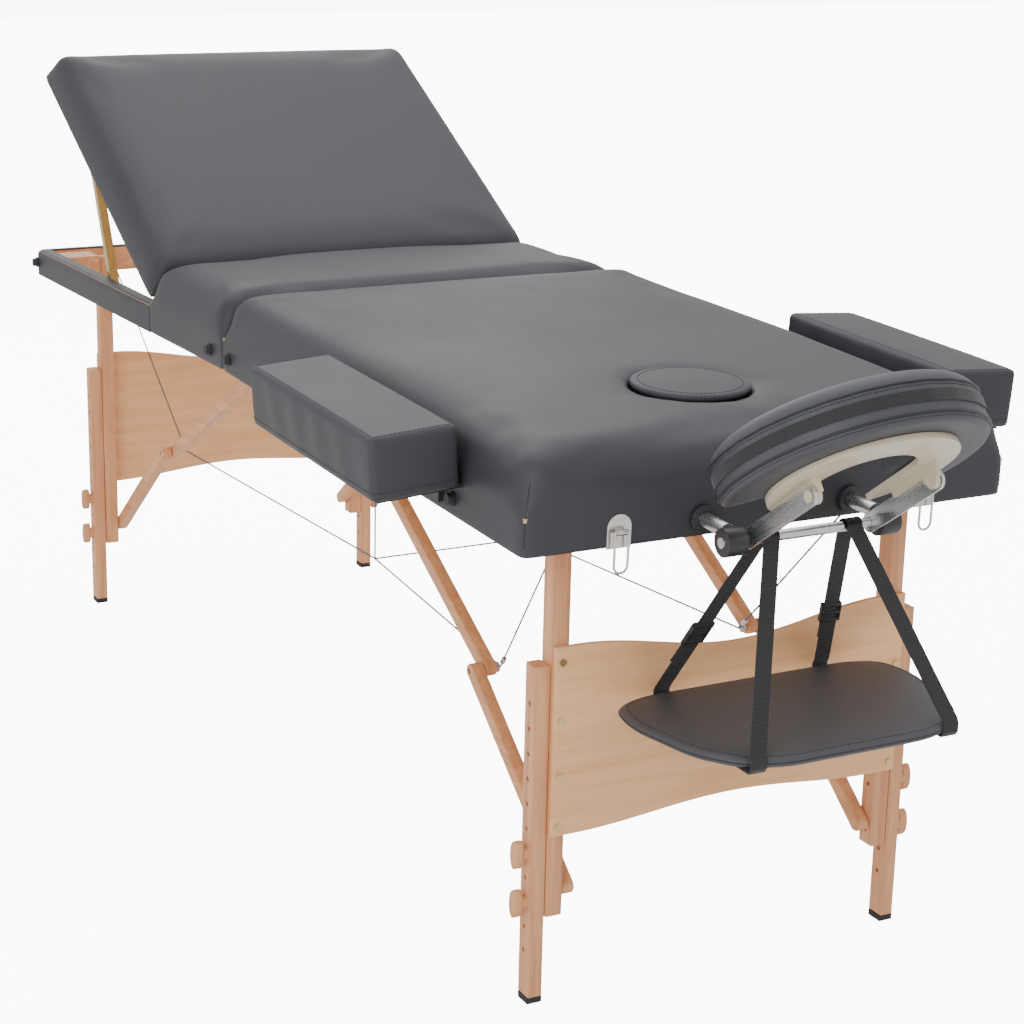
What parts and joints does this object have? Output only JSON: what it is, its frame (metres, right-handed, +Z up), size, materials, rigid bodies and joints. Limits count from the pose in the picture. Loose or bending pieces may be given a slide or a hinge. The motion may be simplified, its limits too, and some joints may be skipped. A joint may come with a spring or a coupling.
{
  "type": "portable massage table",
  "caption": "Portable three-section massage table with folding wooden legs, cable bracing, raised backrest, face cradle, arm sling and slide-in armrests.",
  "frame": {"origin": "on the floor, under the middle of the whole object's box", "axes": "+X towards the head end with the face cradle, +Y to the left of someone facing the head end, +Z up"},
  "size_m": [2.154, 0.9314, 1.0182],
  "materials": {
    "beech": "satin lacquered beech",
    "plywood": "satin lacquered beech plywood",
    "leatherette": "dark slate leatherette, soft sheen",
    "leatherette_trim": "dark slate leatherette wrap",
    "rubber_black": "matt black rubber",
    "plastic_black": "fine matt black nylon",
    "steel": "plated steel",
    "nickel": "nickel plated",
    "brass_plate": "yellow zinc plated",
    "aluminium": "satin aluminium",
    "abs_beige": "beige moulded plastic",
    "webbing": "woven nylon webbing",
    "rope": "stranded steel rope"
  },
  "bodies": {
    "head_half": {"head_frame": "beech", "head_deck": "plywood", "head_cushion": "leatherette", "head_wrap": "leatherette_trim", "rod_sockets": "plastic_black", "latch_plates": "nickel", "head_hinge_leaves": "steel", "head_bumpers": "rubber_black", "head_carry_handle": "webbing", "truss_cables": "rope"},
    "foot_half": {"foot_frame": "beech", "strip_cushion": "leatherette", "foot_wrap": "leatherette_trim", "foot_hinge_leaves": "steel", "latch_catches": "steel", "foot_bumpers": "rubber_black", "foot_carry_handle": "webbing", "backrest_hinges": "steel"},
    "backrest": {"backrest_board": "plywood", "backrest_cushion": "leatherette", "strut_brackets": "plastic_black"},
    "struts": {"support_struts": "brass_plate"},
    "head_legs": {"head_upper_legs": "beech", "head_end_panel": "plywood", "head_leg_screws": "brass_plate"},
    "foot_legs": {"foot_upper_legs": "beech", "foot_end_panel": "plywood", "foot_leg_screws": "brass_plate"},
    "head_upper_braces": {"head_upper_braces": "beech", "head_brace_bolts": "steel"},
    "foot_upper_braces": {"foot_upper_braces": "beech", "foot_brace_bolts": "steel"},
    "head_lower_braces": {"head_lower_braces": "beech"},
    "foot_lower_braces": {"foot_lower_braces": "beech"},
    "face_plug": {"face_plug": "leatherette"},
    "left_armrest": {"armrest_left": "leatherette", "armrest_mounts_left": "plastic_black"},
    "right_armrest": {"armrest_right": "leatherette", "armrest_mounts_right": "plastic_black"},
    "cradle_base": {"cradle_bars": "aluminium", "cradle_knobs": "plastic_black"},
    "cradle_arm_pair": {"cradle_arms": "aluminium"},
    "face_rest": {"face_plate": "abs_beige", "face_cushion": "leatherette"},
    "arm_sling": {"sling_straps": "webbing", "arm_shelf": "leatherette"},
    "left_bail": {"latch_bail_left": "nickel"},
    "right_bail": {"latch_bail_right": "nickel"},
    "head_left_lower_leg": {"head_left_lower_leg": "beech", "head_left_foot": "rubber_black", "head_left_knobs": "beech"},
    "head_right_lower_leg": {"head_right_lower_leg": "beech", "head_right_foot": "rubber_black", "head_right_knobs": "beech"},
    "foot_left_lower_leg": {"foot_left_lower_leg": "beech", "foot_left_foot": "rubber_black", "foot_left_knobs": "beech"},
    "foot_right_lower_leg": {"foot_right_lower_leg": "beech", "foot_right_foot": "rubber_black", "foot_right_knobs": "beech"}
  },
  "joints": [
    {"name": "mid_fold", "type": "hinge", "parent": "head_half", "child": "foot_half", "pos_m": [-0.1358, 0, 0.621], "axis": [0, -1, 0], "range_deg": [0, 95], "deforming": ["truss_cables"]},
    {"name": "head_leg_fold", "type": "hinge", "parent": "head_half", "child": "head_legs", "pos_m": [0.70958, 0, 0.6343], "axis": [0, 1, 0], "range_deg": [0, 91.2], "deforming": ["truss_cables"]},
    {"name": "foot_leg_fold", "type": "hinge", "parent": "foot_half", "child": "foot_legs", "pos_m": [-0.98118, 0, 0.6343], "axis": [0, -1, 0], "range_deg": [0, 91.2], "deforming": ["truss_cables"]},
    {"name": "head_upper_brace_fold", "type": "hinge", "parent": "head_half", "child": "head_upper_braces", "pos_m": [-0.08731, 0, 0.64799], "axis": [0, -1, 0], "range_deg": [0, 29.11]},
    {"name": "foot_upper_brace_fold", "type": "hinge", "parent": "foot_half", "child": "foot_upper_braces", "pos_m": [-0.18429, 0, 0.64799], "axis": [0, 1, 0], "range_deg": [0, 29.11]},
    {"name": "head_lower_brace_fold", "type": "hinge", "parent": "head_legs", "child": "head_lower_braces", "pos_m": [0.70958, 0, 0.145], "axis": [0, 1, 0], "range_deg": [0, 51.76]},
    {"name": "foot_lower_brace_fold", "type": "hinge", "parent": "foot_legs", "child": "foot_lower_braces", "pos_m": [-0.98118, 0, 0.145], "axis": [0, -1, 0], "range_deg": [0, 51.76]},
    {"name": "head_left_leg_height", "type": "slide", "parent": "head_legs", "child": "head_left_lower_leg", "axis": [0, 0, -1], "range_m": [-0.0646, 0.1615]},
    {"name": "head_right_leg_height", "type": "slide", "parent": "head_legs", "child": "head_right_lower_leg", "axis": [0, 0, -1], "range_m": [-0.0646, 0.1615]},
    {"name": "foot_left_leg_height", "type": "slide", "parent": "foot_legs", "child": "foot_left_lower_leg", "axis": [0, 0, -1], "range_m": [-0.0646, 0.1615]},
    {"name": "foot_right_leg_height", "type": "slide", "parent": "foot_legs", "child": "foot_right_lower_leg", "axis": [0, 0, -1], "range_m": [-0.0646, 0.1615]},
    {"name": "backrest_tilt", "type": "hinge", "parent": "foot_half", "child": "backrest", "pos_m": [-0.45819, 0, 0.66426], "axis": [0, 1, 0], "range_deg": [-30, 0]},
    {"name": "strut_swing", "type": "hinge", "parent": "foot_half", "child": "struts", "pos_m": [-0.71093, 0, 0.62496], "axis": [0, 1, 0], "range_deg": [-66.69, 0]},
    {"name": "face_plug_lift", "type": "slide", "parent": "head_half", "child": "face_plug", "axis": [0.0209, 0, 0.9998], "range_m": [0, 0.12]},
    {"name": "left_armrest_slide", "type": "slide", "parent": "head_half", "child": "left_armrest", "axis": [0, 1, 0], "range_m": [0, 0.05]},
    {"name": "right_armrest_slide", "type": "slide", "parent": "head_half", "child": "right_armrest", "axis": [0, -1, 0], "range_m": [0, 0.05]},
    {"name": "cradle_slide", "type": "slide", "parent": "head_half", "child": "cradle_base", "axis": [0.9998, 0, -0.0209], "range_m": [0, 0.08]},
    {"name": "cradle_tilt", "type": "hinge", "parent": "cradle_base", "child": "cradle_arm_pair", "pos_m": [0.86727, 0, 0.61799], "axis": [0, -1, 0], "range_deg": [-35, 8]},
    {"name": "face_plate_tilt", "type": "hinge", "parent": "cradle_arm_pair", "child": "face_rest", "pos_m": [0.98523, 0, 0.70059], "axis": [0, -1, 0], "range_deg": [-10, 2]},
    {"name": "sling_swing", "type": "hinge", "parent": "cradle_base", "child": "arm_sling", "pos_m": [0.86727, 0, 0.61799], "axis": [0, -1, 0], "range_deg": [-3, 40]},
    {"name": "left_latch_swing", "type": "hinge", "parent": "head_half", "child": "left_bail", "pos_m": [0.80641, 0, 0.62527], "axis": [0, -1, 0], "range_deg": [0, 120]},
    {"name": "right_latch_swing", "type": "hinge", "parent": "head_half", "child": "right_bail", "pos_m": [0.80641, 0, 0.62527], "axis": [0, -1, 0], "range_deg": [0, 120]}
  ],
  "couplings": [
    {"joint": "head_upper_brace_fold", "follows": "head_leg_fold", "ratio": 0.3137},
    {"joint": "foot_upper_brace_fold", "follows": "foot_leg_fold", "ratio": 0.3137},
    {"joint": "head_lower_brace_fold", "follows": "head_leg_fold", "ratio": 0.56205},
    {"joint": "foot_lower_brace_fold", "follows": "foot_leg_fold", "ratio": 0.56205},
    {"joint": "strut_swing", "follows": "backrest_tilt", "ratio": 2.2065}
  ]
}
